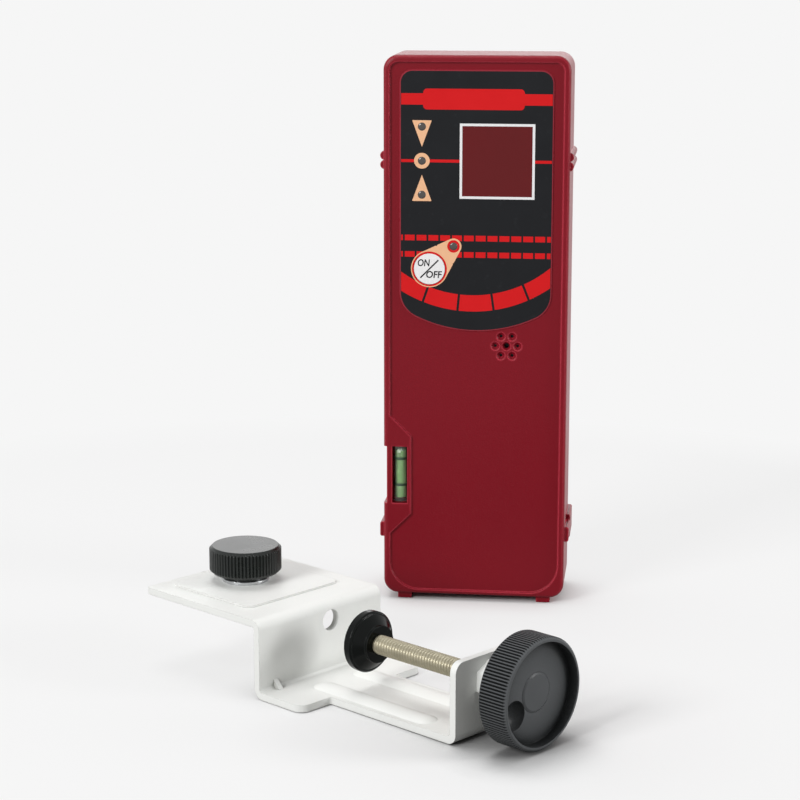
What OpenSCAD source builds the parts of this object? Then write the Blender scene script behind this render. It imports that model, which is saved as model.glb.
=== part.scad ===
// Laser receiver for levelling work, with its staff clamp standing beside it. Millimetres, +Z up.
// The display looks along -Y. The origin is on the floor, under the middle of the set's box.

/* [Receiver case] */
// Width of the case
case_w = 56; // [54:0.5:62]
// Height of the case, without its feet
case_h = 166.5; // [164:0.5:176]
// Depth of the case, front rim to back
case_d = 27; // [26.5:0.5:30]
// Corner radius of the case seen from the front
case_corner_r = 4.4; // [3.6:0.1:5]
// Wall thickness of both shells
wall = 2; // [1.8:0.1:2.2]
// Share of the case's depth that the front shell takes, rim to parting line
part_line_share = 0.444; // [0.43:0.002:0.48]
// Rounding of the front edge
front_edge_r = 1.2; // [0.8:0.1:1.6]
// Rounding of the back edge
back_edge_r = 2.4; // [1.6:0.1:3]
// Height of the feet
foot_h = 1.8; // [1.4:0.1:2.4]
// Width of a foot
foot_w = 4.2; // [3.4:0.1:5]
// Depth of a foot
foot_d = 7; // [5:0.5:8]
// Distance of each foot's middle from the case's side
foot_inset = 6.4; // [6:0.1:8]

/* [Front face] */
// Depth of the recessed face below the rim
recess_depth = 0.9; // [0.7:0.1:1.2]
// Width of the rim at the sides
rim_side = 1.9; // [1.6:0.1:2.4]
// Width of the rim at the top
rim_top = 2; // [1.6:0.1:2.6]
// Width of the rim at the bottom
rim_bottom = 1.4; // [1.2:0.1:2]
// Radius of the recess at its top corners
recess_top_r = 2.6; // [2:0.1:3.2]
// Radius of the recess at its bottom corners
recess_bottom_r = 9; // [7:0.5:10]
// Margin between the panel and the recess, each side
panel_margin = 3.4; // [3:0.1:4]
// Share of the height above the battery bay that the display panel takes
panel_h_share = 0.74; // [0.72:0.001:0.76]
// Thickness of the display panel
panel_t = 0.5; // [0.4:0.05:0.6]
// Share of the height above the bay that lies over the panel's top edge
panel_drop_share = 0.0446; // [0.04:0.0002:0.05]
// Radius of the panel's curved bottom edge
panel_bottom_r = 42; // [38:0.5:46]
// Radius of the bends between the panel's sides and its bottom edge
panel_bend_r = 8; // [6:0.5:10]
// Radius of the panel's top corners
panel_corner_r = 3.5; // [2.5:0.1:4.5]
// Side of the square sensor window
window_side = 22.2; // [21:0.2:23]
// Thickness of the sensor window
window_t = 1.9; // [1.7:0.1:2.1]
// Ledge that the window sits on, each side
window_ledge = 1.6; // [1.2:0.1:2]
// Share of the height above the bay that lies over the sensor's middle line
sensor_drop_share = 0.2983; // [0.29:0.0001:0.31]
// Place of the sensor window's middle, as a share of the panel's half width
sensor_x_share = 0.277; // [0.26:0.001:0.29]
// Radius of the ridges that mark the sensor's line on each side
mark_r = 1.4; // [1.2:0.1:1.6]

/* [Controls] */
// Radius of the power button
button_r = 4.7; // [4.4:0.1:5]
// Place of the power button, as a share of the panel's half width
button_x_share = -0.616; // [-0.63:0.001:-0.6]
// Share of the height above the bay that lies over the power button's middle
button_drop_share = 0.6085; // [0.6:0.0005:0.62]
// Travel of the power button
button_travel = 0.45; // [0.3:0.05:0.5]
// Radius of an indicator lens
lens_r = 1.3; // [1.1:0.05:1.4]
// Place of the three height indicators, as a share of the panel's half width
lens_x_share = -0.72; // [-0.73:0.001:-0.71]
// Share of the height above the bay between neighbouring height indicators
lens_pitch_share = 0.0969; // [0.094:0.0001:0.1]
// Place of the power indicator, as a share of the panel's half width
power_lens_x_share = -0.295; // [-0.31:0.001:-0.28]
// Share of the height above the bay that lies over the power indicator
power_lens_drop_share = 0.5424; // [0.535:0.0001:0.55]
// Radius of the ring of sound holes
sound_ring_r = 3.4; // [3.2:0.1:3.8]
// Radius of a sound hole
sound_hole_r = 0.5; // [0.4:0.05:0.6]
// Radius of the sound hole in the middle
sound_mid_r = 0.8; // [0.6:0.05:0.9]
// Radius of the cone round each sound hole
sound_cone_r = 1.35; // [1.1:0.05:1.45]
// Depth of the cone round each sound hole
sound_cone_depth = 0.8; // [0.5:0.05:1]
// Place of the sounder, as a share of the panel's half width
sounder_x_share = 0.42; // [0.4:0.001:0.44]
// Share of the height above the bay that lies over the sounder's middle
sounder_drop_share = 0.831; // [0.82:0.0005:0.84]
// Radius of the sounder
sounder_r = 6; // [5.5:0.1:6.5]

/* [Level vial] */
// Radius of the vial
vial_r = 2.2; // [2:0.05:2.3]
// Length of the vial
vial_l = 17.4; // [16:0.2:18]
// Wall of the vial
vial_wall = 0.5; // [0.4:0.05:0.6]
// Height of the vial's lower end above the case's bottom edge
vial_rise = 29.3; // [28:0.1:30]
// Distance of the vial's axis from the case's side
vial_inset = 5; // [4.8:0.1:5.3]
// Depth of the vial's axis behind the rim
vial_depth = 3.2; // [3:0.1:3.6]
// Width of the raised field round the vial, from the case's side
field_w = 8.4; // [8.2:0.1:9.4]
// Height of the raised field beyond each end of the vial
field_margin = 3.6; // [3:0.1:4]
// Height of the field's sloping ends
field_slope = 6.4; // [5:0.1:7]
// Depth of the notch in the case's side at the vial
side_notch = 1; // [0.6:0.1:1.2]

/* [Battery bay] */
// Height of the battery's can
battery_h = 45; // [44:0.2:46]
// Distance of the bay's left side from the case's middle
bay_left = 12.05; // [11.8:0.05:12.3]
// Gap between the front wall and the bay
bay_front_gap = 1.2; // [0.8:0.1:1.6]
// Wall of the bay
bay_wall = 2.2; // [2:0.1:2.4]
// Thickness of the battery door
door_t = 1.9; // [1.6:0.1:2]
// Ledge under the door's edges
door_ledge = 1.4; // [1.2:0.1:1.5]
// Radius of the door's hinge barrel
barrel_r = 1.6; // [1.4:0.05:1.7]
// Radius of the hinge pin
hinge_pin_r = 0.75; // [0.6:0.05:0.8]

/* [Mounting thread] */
// Radius of the thread's core in the insert, for an M6 stud
thread_core_r = 2.5; // [2.4:0.05:2.55]
// Outer radius of the insert
insert_r = 4.5; // [4.2:0.1:4.8]
// Length of the insert
insert_l = 9; // [8:0.2:9.4]
// Height of the insert above the floor
insert_z = 98; // [96:0.5:110]

/* [Bracket] */
// Sheet thickness of the bracket
sheet_t = 2; // [1.8:0.1:2.4]
// Inner radius of the bends
bend_r = 0.8; // [0.6:0.1:1.2]
// Width of the flange and the wall
bracket_w = 47; // [44:0.5:52]
// Height of the bracket
bracket_h = 22; // [21.5:0.25:24]
// Length of the flange, from the wall's jaw face
flange_l = 47; // [46:0.5:52]
// Length of the wide part of the base
ear_l = 16.5; // [15:0.5:18]
// Corner radius of the wide part of the base
ear_r = 3; // [2:0.5:5]
// Width of the base between wall and end wall
base_w = 25; // [24:0.5:28]
// Distance between the wall's jaw face and the end wall
jaw_l = 60; // [58:0.5:64]
// Radius of the hanging hole in the wall
hang_hole_r = 3; // [2.6:0.1:3.4]
// Distance of the hanging hole from the bracket's middle
hang_hole_y = 3.6; // [2:0.1:8]
// Height of the hanging hole above the floor
hang_hole_z = 16.4; // [15:0.1:16.6]

/* [Clamp screw] */
// Radius of the clamp screw
screw_r = 2.7; // [2.5:0.05:3]
// Height of the screw's axis above the floor
screw_z = 15.3; // [15.3:0.1:16]
// Opening between the wall and the pad as stored
jaw_open = 17; // [15:0.5:19]
// Radius of the pressure pad
pad_r = 8.5; // [7.8:0.1:9.2]
// Thickness of the pad's disc
pad_disc_t = 2.8; // [2.4:0.1:3.2]
// Length of the pad's cone
pad_cone_l = 2.2; // [1.8:0.1:2.6]
// Length of the pad's neck
pad_neck_l = 0.8; // [0.6:0.1:1.4]
// Radius of the pad's neck
pad_neck_r = 5.2; // [4.8:0.1:5.8]
// Gap between the end wall and the handwheel
wheel_gap = 9.5; // [9:0.1:11]
// Radius of the handwheel
wheel_r = 15; // [14:0.1:15]
// Thickness of the handwheel
wheel_t = 9.2; // [8.6:0.1:10.4]
// Number of ribs round the handwheel
wheel_ribs = 110; // [80:1:120]
// Across flats of the nut on the end wall
nut_flats = 9; // [8.6:0.1:10]
// Thickness of the nut
nut_t = 4.4; // [4:0.1:4.8]

/* [Mount knob] */
// Radius of the knob
knob_r = 10.3; // [9.6:0.1:11]
// Height of the knob's grip
knob_h = 7.8; // [7:0.1:8.4]
// Height of the collar under the grip
collar_h = 1.6; // [1.4:0.1:2.2]
// Radius of the collar
collar_r = 6; // [5.6:0.1:6.4]
// Distance of the knob's axis from the wall's jaw face
knob_reach = 31; // [29:0.25:32]
// Radius of the washer
washer_r = 6.8; // [6.4:0.1:7.2]
// Thickness of the washer
washer_t = 0.8; // [0.6:0.1:1]
// Radius of the stud, M6
stud_r = 3; // [2.9:0.05:3.1]
// Length of the stud below the flange
stud_reach = 8; // [7:0.25:9]
// Number of ribs round the knob
knob_ribs = 64; // [48:1:72]

/* [Layout] */
// Place of the receiver on the floor, sideways
receiver_x = 24.7; // [20:0.1:40]
// Place of the receiver's front rim on the floor, front to back
receiver_y = 55.3; // [50:0.1:90]
// Place of the clamp's jaw face on the floor, sideways
clamp_x = -10.9; // [-20:0.1:0]
// Place of the clamp's jaw face on the floor, front to back
clamp_y = -22.2; // [-40:0.1:-15]
// Turn of the clamp about the vertical, in degrees
clamp_turn = -37; // [-60:1:-30]

/* [Hidden] */
$fn = 64;
// Facets of the rounded shell edges
edge_fn = 32;
edge_steps = 3;
// One overrun serves every cut
over = 1;
// Radial play of a running fit and of a seated fit, and the gap between pieces that move apart
run_gap = 0.06;
seat_gap = 0.03;
free_gap = 0.3;

red_case = "#7d0c1c";
dark_red = "#3d0710";
black_part = "#191919";
white_coat = "#e4e4e2";
zinc = "#c9c2ad";
steel = "#b8bcc0";

base_z = foot_h;
top_z = foot_h + case_h;
half_w = case_w / 2;
part_line = case_d * part_line_share;
front_inner = recess_depth + wall;
back_inner = case_d - wall;
cavity_r = case_corner_r - wall;
panel_front = recess_depth - panel_t;

// Battery bay between the right case bosses and the vial, open at the back, with the door's hinge at its foot
case_screw_in = 4.6;
case_boss_r = 3;
bay_side_gap = 0.35;
bay_gap = 0.6;
bay_right = half_w - case_screw_in - case_boss_r - bay_side_gap;
bay_x = (bay_right - bay_left) / 2;
bay_half = (bay_right + bay_left) / 2 - bay_wall;
battery_w = 2 * (bay_half - bay_gap);
door_gap = 0.4;
hinge_y = case_d - barrel_r;
pocket_z0 = base_z + wall + bay_wall;
hinge_z = pocket_z0 + barrel_r + free_gap;
bay_floor = hinge_z + barrel_r + free_gap;
bay_front = front_inner + bay_front_gap + bay_wall;
battery_y0 = bay_front + bay_gap;
battery_y1 = back_inner - bay_gap;
battery_d = battery_y1 - battery_y0;
battery_mid_y = (battery_y0 + battery_y1) / 2;
battery_top = bay_floor + battery_h;
battery_corner_r = 2;
terminal_h = 2.8;
terminal_x_share = 0.24;
terminal_x = battery_w * terminal_x_share;
plus_r = 2.9;
minus_r = 4;
snap_w_share = 0.943;
snap_w = battery_w * snap_w_share;
snap_d_share = 0.8;
snap_d = battery_d * snap_d_share;
snap_h = 5.4;
snap_top = battery_top + seat_gap + snap_h;
bay_top = snap_top + bay_gap;
bay_roof = bay_top + bay_wall;
pocket_y = hinge_y - barrel_r - free_gap;
door_half = bay_half + door_ledge;
door_neck_half = bay_half - free_gap;
door_neck_h = 5;
door_top = bay_top + door_ledge;
door_shoulder = hinge_z + door_neck_h;
pin_reach = 1.8;
thumb_r = 8;
thumb_depth = 1.2;

// Height above the bay, which the display and the board share out
upper_h = top_z - bay_roof;
sensor_z = top_z - upper_h * sensor_drop_share;

// Recess of the front face
recess_w = case_w - 2 * rim_side;
recess_z0 = base_z + rim_bottom;
recess_z1 = top_z - rim_top;

// Display panel
panel_w = recess_w - 2 * panel_margin;
panel_half = panel_w / 2;
panel_h = upper_h * panel_h_share;
panel_z1 = top_z - upper_h * panel_drop_share;
panel_z0 = panel_z1 - panel_h;
panel_arc_z = panel_z0 + panel_bottom_r;
panel_bend_x = panel_half - panel_bend_r;
panel_bend_fall = sqrt((panel_bottom_r - panel_bend_r) ^ 2 - panel_bend_x ^ 2);
panel_bend_z = panel_arc_z - panel_bend_fall;
cutout_gap = 0.15;

// Sensor window, proud of the panel by a hair
sensor_x = panel_half * sensor_x_share;
window_proud = 0.1;
window_front = panel_front - window_proud;
window_back = window_front + window_t;

// Ridges that mark the sensor's line, and the plain lugs lower down, on each side
mark_sink = 0.3;
lug_front = 1.6;
lug_w = 2.6;
lug_h = 4.6;
lug_r = 0.6;
lug_rise = 20.2;
back_lug_h = 7.4;
lug_z = base_z + lug_rise;

// Feet
foot_x = half_w - foot_inset;
foot_front = 1.6;
foot_sink = wall / 2;

// Power button: cap, flange behind the front wall, stem
button_x = panel_half * button_x_share;
button_z = top_z - upper_h * button_drop_share;
button_proud = 0.25;
button_front = panel_front - button_proud;
button_flange_t = 0.8;
button_flange_lip = 1.1;
button_stem_r = 1.5;
button_stem_l = 0.6;
button_flange_y = front_inner + run_gap;
button_back = button_flange_y + button_flange_t + button_stem_l;

// Indicator lenses: three on the height scale and the power light
lens_x = panel_half * lens_x_share;
power_lens_x = panel_half * power_lens_x_share;
power_lens_z = top_z - upper_h * power_lens_drop_share;
lens_at = concat(
    [for (i = [-1:1]) [lens_x, sensor_z + i * upper_h * lens_pitch_share]],
    [[power_lens_x, power_lens_z]]);
lens_flange_lip = 0.7;
lens_flange_t = 0.7;
led_r = 1.5;
led_gap = 0.4;

// Circuit board and what it carries
board_sink = 2.6;
board_y = part_line - board_sink;
board_t = 1.6;
board_margin = 3.5;
board_w = case_w - 2 * wall - 2 * board_margin;
board_rise = 4;
board_drop_share = 0.126;
board_corner_r = 2;
board_z0 = bay_roof + board_rise;
board_z1 = top_z - upper_h * board_drop_share;
board_back = board_y + board_t;
sounder_x = panel_half * sounder_x_share;
sounder_z = top_z - upper_h * sounder_drop_share;
sounder_front = front_inner + free_gap;
sound_holes = 6;
switch_side = 6;
plunger_r = 1.7;
plunger_gap = button_travel + free_gap / 2;
plunger_front = button_back + plunger_gap;
plunger_l = 0.9;
diode_base_w = 9;
diode_base_h = 21;
diode_base_t = 1.6;
diode_chip_w = 4;
diode_chip_h = 9;
diode_chip_t = 0.8;
chip_side = 10;
chip_t = 1.6;
chip_drop_share = 0.779;
chip_x_share = -0.4405;
chip_x = panel_half * chip_x_share;
chip_z = top_z - upper_h * chip_drop_share;

// Screws that hold the board, and those that hold the shells
board_screw_r = 1;
board_screw_head_r = 1.9;
board_screw_head_h = 1.3;
board_screw_l = 6;
board_boss_r = 2.4;
board_screw_x = board_w / 2 - 2 * board_screw_r;
board_screw_in = 3.5;
board_screw_at = [for (sx = [-1, 1], z = [board_z0 + board_screw_in, board_z1 - board_screw_in])
    [sx * board_screw_x, z]];
case_screw_r = 1.25;
case_screw_head_r = 2.4;
case_screw_head_h = 1.8;
case_screw_bite_share = 0.583;
case_screw_bite = part_line * case_screw_bite_share;
case_bore_depth = 4;
head_gap = 0.2;
tip_gap = 0.5;
case_screw_rise = 12.2;
case_screw_fall = 8.3;
case_screw_x = half_w - case_screw_in;
case_screw_at = [for (sx = [-1, 1], z = [base_z + case_screw_rise, top_z - case_screw_fall])
    [sx * case_screw_x, z]];
case_screw_seat = case_d - case_bore_depth;
cross_share = 0.62;
cross_w_share = 0.2;
cross_depth_share = 0.55;

// Level vial in the raised field at the case's left edge
vial_x = -half_w + vial_inset;
vial_z0 = base_z + vial_rise;
vial_z1 = vial_z0 + vial_l;
vial_bore_r = vial_r - vial_wall;
vial_floor = 1.2;
vial_plug_t = 1.4;
trough_r = vial_r + cutout_gap;
trough_end = 0.3;
trough_back = 1.6;
field_x = -half_w + field_w;
field_z0 = vial_z0 - field_margin;
field_z1 = vial_z1 + field_margin;
notch_d = 9;

// Leads from the battery snap to the board
lead_r = 0.7;
lead_x = 4;
lead_rise = 5;
lead_hole_gap = 0.4;
lead_z = board_z0 + lead_rise;

// Insert boss in the back shell
insert_boss_wall = 2;
insert_floor = 1.2;

// Bracket profile and its pressed features
bend_out = bend_r + sheet_t;
wall_back = -sheet_t;
end_out = jaw_l + sheet_t;
flange_under = bracket_h - sheet_t;
flange_corner_r = 1;
end_corner_r = 3;
notch_r = 0.8;
plateau_margin = 4;
plateau_l = 32.5;
plateau_w = 35;
plateau_r = 2.4;
plateau_h = 0.6;
plateau_draw = 1.2;
plateau_z = bracket_h + plateau_h;
plateau_x = plateau_margin + plateau_l / 2 - flange_l;
bead_edge = 4.9;
bead_y = base_w / 2 - bead_edge;
bead_r = 6.6;
bead_h = 1;
bead_draw = 1;
bead_x0 = 9.7;
bead_end = 13.5;
bead_x1 = jaw_l - bead_end;
gusset_y = 17.5;
gusset_l = 2.4;
gusset_w = 1.6;
stud_hole_r = stud_r + free_gap;
screw_hole_r = screw_r + free_gap;

// Clamp screw, pad and handwheel along the screw's axis
pad_l = pad_disc_t + pad_cone_l + pad_neck_l;
pad_rim_r = 0.5;
pad_cone_lip = 0.8;
pad_wall = 1.8;
screw_x0 = jaw_open + pad_wall;
wheel_x0 = end_out + wheel_gap;
wheel_x1 = wheel_x0 + wheel_t;
wheel_floor = 1.6;
wheel_rim_w = 1.3;
wheel_edge = 0.7;
wheel_dish = 2.6;
wheel_dish_slope = 0.3;
wheel_hub_r = 6;
wheel_back_dish = 2.4;
rib_depth = 0.45;
rib_crest_share = 0.4;
rib_groove_share = 0.7;
cap_r = 5.3;
cap_t = 0.9;
cap_sink = 0.6;
dimple_r = 4;
dimple_depth = 2.4;
dimple_ball_r = (dimple_r ^ 2 + dimple_depth ^ 2) / (2 * dimple_depth);
dimple_reach = 9.3;
dimple_angle = 297;
screw_x1 = wheel_x1 - wheel_floor - wheel_dish;

// Mount knob, stud, washer and the ring that keeps the stud in the flange
washer_z = plateau_z + run_gap;
collar_z = washer_z + washer_t;
grip_z = collar_z + collar_h;
grip_top = grip_z + knob_h;
knob_edge = 0.9;
stud_top = grip_top - knob_h / 3;
stud_bottom = flange_under - stud_reach;
ring_r = 5;
ring_t = 1;
ring_slot = 1.6;
stud_groove_r = stud_r - ring_t / 2;
ring_z = flange_under + plateau_h - ring_t - free_gap / 2;

// Placing
module at_receiver() translate([receiver_x, receiver_y, 0]) children();
module at_clamp() translate([clamp_x, clamp_y, 0]) rotate([0, 0, clamp_turn]) children();
module at_knob() at_clamp() translate([-knob_reach, 0, 0]) children();
module at_screw() at_clamp() translate([0, 0, screw_z]) rotate([0, 90, 0]) children();

// Shared shapes
module rod_y(x, z, y0, y1, r) translate([x, y0, z]) rotate([-90, 0, 0]) cylinder(r = r, h = y1 - y0);
module slab_y(y0, y1) translate([0, y1, 0]) rotate([90, 0, 0]) linear_extrude(y1 - y0) children();
module block(x0, x1, y0, y1, z0, z1) translate([x0, y0, z0]) cube([x1 - x0, y1 - y0, z1 - z0]);

// Flat outline centred on x = 0, with its own radius at the top and the bottom corners
module rounded_span(w, z0, z1, top_r, bottom_r) {
    translate([-w / 2, z0 + bottom_r]) square([w, z1 - z0 - top_r - bottom_r]);
    translate([top_r - w / 2, z1 - top_r]) square([w - 2 * top_r, top_r]);
    translate([bottom_r - w / 2, z0]) square([w - 2 * bottom_r, bottom_r]);
    for (s = [-1, 1]) {
        translate([s * (w / 2 - top_r), z1 - top_r]) circle(r = top_r);
        translate([s * (w / 2 - bottom_r), z0 + bottom_r]) circle(r = bottom_r);
    }
}

// Plan outline, centred on y = 0
module rounded_plan(x0, x1, w, r) translate([x0, 0]) rotate([0, 0, -90]) rounded_span(w, 0, x1 - x0, r, r);

// Half of the case, rounded along its edge at y = 0
module case_block(depth, edge)
    hull() for (sx = [-1, 1], z = [base_z + case_corner_r, top_z - case_corner_r], i = [0:edge_steps])
        let (a = 90 * i / edge_steps)
            rod_y(sx * (half_w - case_corner_r), z, edge * (1 - cos(a)), depth,
                case_corner_r - edge * (1 - sin(a)), $fn = edge_fn);

module cavity(y0, y1)
    slab_y(y0, y1) rounded_span(case_w - 2 * wall, base_z + wall, top_z - wall, cavity_r, cavity_r);

// Pair of ridges with the mark's groove between them, on each side
module sensor_marks(y0, y1)
    for (sx = [-1, 1], sz = [-1, 1])
        rod_y(sx * (half_w - mark_sink), sensor_z + sz * mark_r, y0, y1, mark_r);

module side_lugs(y0, y1, h)
    for (sx = [-1, 1]) translate([sx * half_w, 0, 0])
        slab_y(y0, y1) rounded_span(lug_w, lug_z - h / 2, lug_z + h / 2, lug_r, lug_r);

module feet(y0, y1)
    for (sx = [-1, 1])
        block(sx * foot_x - foot_w / 2, sx * foot_x + foot_w / 2, y0, y1, 0, base_z + foot_sink);

// Screw along y with a crossed recess; its head sits on the plane y and looks along +y
module cross_screw(x, z, y, r, length, head_r, head_h)
    difference() {
        union() {
            rod_y(x, z, y, y + head_h, head_r);
            rod_y(x, z, y - length, y, r);
        }
        for (t = [0, 90]) translate([x, y + head_h, z]) rotate([0, t, 0])
            cube([2 * head_r * cross_share, 2 * head_h * cross_depth_share, 2 * head_r * cross_w_share],
                center = true);
    }

// Ribbed round grip along z: each rib has a flat crest, with a V groove to the next
module ribbed(r, h, ribs)
    linear_extrude(h) polygon([for (i = [0:ribs - 1], p = [[0, 0], [rib_crest_share, 0], [rib_groove_share, 1]])
        let (a = 360 * (i + p.x) / ribs, d = r - p.y * rib_depth) [d * cos(a), d * sin(a)]]);

// Front shell: rim, recessed face, openings, the vial's raised field and bosses
module recess_outline()
    difference() {
        rounded_span(recess_w, recess_z0, recess_z1, recess_top_r, recess_bottom_r);
        polygon([
            [-half_w, field_z0 - field_slope], [rim_side - half_w, field_z0 - field_slope],
            [field_x, field_z0], [field_x, field_z1],
            [rim_side - half_w, field_z1 + field_slope], [-half_w, field_z1 + field_slope]]);
    }

module vial_trough() {
    z0 = vial_z0 - trough_end;
    z1 = vial_z1 + trough_end;
    translate([vial_x, vial_depth, z0]) cylinder(r = trough_r, h = z1 - z0);
    block(vial_x - trough_r, vial_x + trough_r, -over, vial_depth, z0, z1);
    block(-half_w - over, side_notch - half_w, -over, notch_d, z0, z1);
}

module front_shell()
    color(red_case) at_receiver() difference() {
        union() {
            difference() {
                case_block(part_line, front_edge_r);
                cavity(front_inner, part_line + over);
            }
            for (p = case_screw_at) rod_y(p.x, p.y, recess_depth + wall / 2, part_line, case_boss_r);
            for (p = board_screw_at) rod_y(p.x, p.y, recess_depth + wall / 2, board_y, board_boss_r);
            block(wall / 2 - half_w, field_x, wall, vial_depth + trough_r + trough_back, field_z0, field_z1);
            sensor_marks(lug_front, part_line);
            side_lugs(lug_front, part_line, lug_h);
            feet(foot_front, foot_front + foot_d);
        }
        slab_y(-over, recess_depth) recess_outline();
        window_openings();
        for (p = lens_at) rod_y(p.x, p.y, 0, front_inner + over, lens_r + cutout_gap);
        rod_y(button_x, button_z, 0, front_inner + over, button_r + cutout_gap);
        sound_hole(sounder_x, sounder_z, sound_mid_r);
        for (i = [1:sound_holes]) let (a = 360 * i / sound_holes)
            sound_hole(sounder_x + sound_ring_r * cos(a), sounder_z + sound_ring_r * sin(a), sound_hole_r);
        vial_trough();
        for (p = case_screw_at)
            rod_y(p.x, p.y, part_line - case_screw_bite - tip_gap, part_line + over, case_screw_r + seat_gap);
        for (p = board_screw_at)
            rod_y(p.x, p.y, board_back - board_screw_l - tip_gap, board_y + over, board_screw_r + seat_gap);
    }

// Sound hole with a cone round its mouth
module sound_hole(x, z, r) {
    rod_y(x, z, 0, front_inner + over, r);
    translate([x, recess_depth + sound_cone_depth, z]) rotate([90, 0, 0])
        cylinder(r1 = r, r2 = sound_cone_r, h = sound_cone_depth);
}

// Seat of the window and the way through the front wall behind it
module window_openings() {
    seat = window_side / 2 + cutout_gap;
    clear = window_side / 2 - window_ledge;
    block(sensor_x - seat, sensor_x + seat, 0, window_back, sensor_z - seat, sensor_z + seat);
    block(sensor_x - clear, sensor_x + clear, 0, front_inner + over, sensor_z - clear, sensor_z + clear);
}

// Rear shell: battery bay, door opening, insert boss and screw bosses
module bay_block() {
    half = bay_half + bay_wall;
    block(bay_x - half, bay_x + half, bay_front - bay_wall, back_inner + wall / 2,
        base_z + wall + free_gap, bay_roof);
    block(bay_x - half, bay_x + half, part_line, back_inner + wall / 2, base_z + wall / 2, bay_roof);
}

module bay_space() {
    open = door_half + door_gap;
    block(bay_x - bay_half, bay_x + bay_half, bay_front, case_d + over, bay_floor, bay_top);
    block(bay_x - bay_half, bay_x + bay_half, pocket_y, case_d + over, pocket_z0, bay_floor + over);
    block(bay_x - open, bay_x + open, back_inner, case_d + over, door_shoulder - door_gap,
        door_top + door_gap);
    translate([bay_x, case_d + thumb_r - thumb_depth, door_top]) sphere(r = thumb_r);
    for (s = [-1, 1]) translate([bay_x + s * lead_x, battery_mid_y, bay_top - over])
        cylinder(r = lead_r + lead_hole_gap, h = bay_wall + 2 * over);
}

module rear_shell()
    color(red_case) at_receiver() difference() {
        union() {
            difference() {
                translate([0, case_d, 0]) mirror([0, 1, 0]) case_block(case_d - part_line, back_edge_r);
                cavity(part_line - over, back_inner);
            }
            for (p = case_screw_at) rod_y(p.x, p.y, part_line, back_inner + wall / 2, case_boss_r);
            rod_y(0, insert_z, case_d - insert_l - insert_floor, back_inner + wall / 2,
                insert_r + insert_boss_wall);
            bay_block();
            sensor_marks(part_line, case_d - back_edge_r);
            side_lugs(part_line, case_d - back_edge_r, back_lug_h);
            feet(case_d - back_edge_r - foot_d, case_d - back_edge_r);
        }
        bay_space();
        rod_y(0, insert_z, case_d - insert_l, case_d + over, insert_r + seat_gap);
        for (p = case_screw_at) {
            rod_y(p.x, p.y, part_line - over, case_d, case_screw_r + head_gap);
            rod_y(p.x, p.y, case_screw_seat, case_d + over, case_screw_head_r + head_gap);
        }
        translate([bay_x - bay_half - pin_reach - free_gap, hinge_y, hinge_z]) rotate([0, 90, 0])
            cylinder(r = hinge_pin_r + run_gap, h = 2 * (bay_half + pin_reach + free_gap));
    }

// Front pieces of the receiver
module panel_outline() {
    translate([-panel_half, panel_bend_z]) square([panel_w, panel_z1 - panel_corner_r - panel_bend_z]);
    translate([panel_corner_r - panel_half, panel_z1 - panel_corner_r])
        square([panel_w - 2 * panel_corner_r, panel_corner_r]);
    for (s = [-1, 1]) {
        translate([s * (panel_half - panel_corner_r), panel_z1 - panel_corner_r]) circle(r = panel_corner_r);
        translate([s * panel_bend_x, panel_bend_z]) circle(r = panel_bend_r);
    }
    translate([0, panel_arc_z]) intersection() {
        circle(r = panel_bottom_r);
        polygon([[0, 0], [-2 * panel_bend_x, -2 * panel_bend_fall], [2 * panel_bend_x, -2 * panel_bend_fall]]);
    }
}

module display_panel()
    color(black_part) at_receiver() difference() {
        slab_y(panel_front, recess_depth) panel_outline();
        window_openings();
        for (p = lens_at) rod_y(p.x, p.y, 0, recess_depth + over, lens_r + cutout_gap);
        rod_y(button_x, button_z, 0, recess_depth + over, button_r + cutout_gap);
    }

module sensor_window() {
    half = window_side / 2;
    color(dark_red) at_receiver() block(sensor_x - half, sensor_x + half, window_front, window_back,
        sensor_z - half, sensor_z + half);
}

module indicator_lenses()
    color(dark_red) at_receiver() for (p = lens_at) {
        rod_y(p.x, p.y, panel_front, front_inner + lens_flange_t, lens_r);
        rod_y(p.x, p.y, front_inner, front_inner + lens_flange_t, lens_r + lens_flange_lip);
    }

module power_button()
    color("white") at_receiver() {
        rod_y(button_x, button_z, button_front, button_back - button_stem_l, button_r);
        rod_y(button_x, button_z, button_flange_y, button_flange_y + button_flange_t,
            button_r + button_flange_lip);
        rod_y(button_x, button_z, button_flange_y, button_back, button_stem_r);
    }

// Inside of the receiver
module circuit_board()
    color("#1f5c33") at_receiver() difference() {
        slab_y(board_y, board_back)
            rounded_span(board_w, board_z0, board_z1, board_corner_r, board_corner_r);
        for (p = board_screw_at) rod_y(p.x, p.y, board_y - over, board_back + over, board_screw_r + head_gap);
    }

module photodiode_array() {
    base_front = board_y - diode_base_t;
    color("#22222c") at_receiver() {
        block(sensor_x - diode_base_w / 2, sensor_x + diode_base_w / 2, base_front, board_y,
            sensor_z - diode_base_h / 2, sensor_z + diode_base_h / 2);
        for (s = [-1, 1]) let (z = sensor_z + s * diode_base_h / 4)
            block(sensor_x - diode_chip_w / 2, sensor_x + diode_chip_w / 2, base_front - diode_chip_t,
                base_front, z - diode_chip_h / 2, z + diode_chip_h / 2);
    }
}

module indicator_leds() {
    dome_y = front_inner + lens_flange_t + led_gap + led_r;
    color("#c02020") at_receiver() for (p = lens_at) {
        rod_y(p.x, p.y, dome_y, board_y, led_r);
        translate([p.x, dome_y, p.y]) sphere(r = led_r);
    }
}

module button_switch()
    color("#303030") at_receiver() {
        block(button_x - switch_side / 2, button_x + switch_side / 2, plunger_front + plunger_l, board_y,
            button_z - switch_side / 2, button_z + switch_side / 2);
        rod_y(button_x, button_z, plunger_front, board_y, plunger_r);
    }

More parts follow.
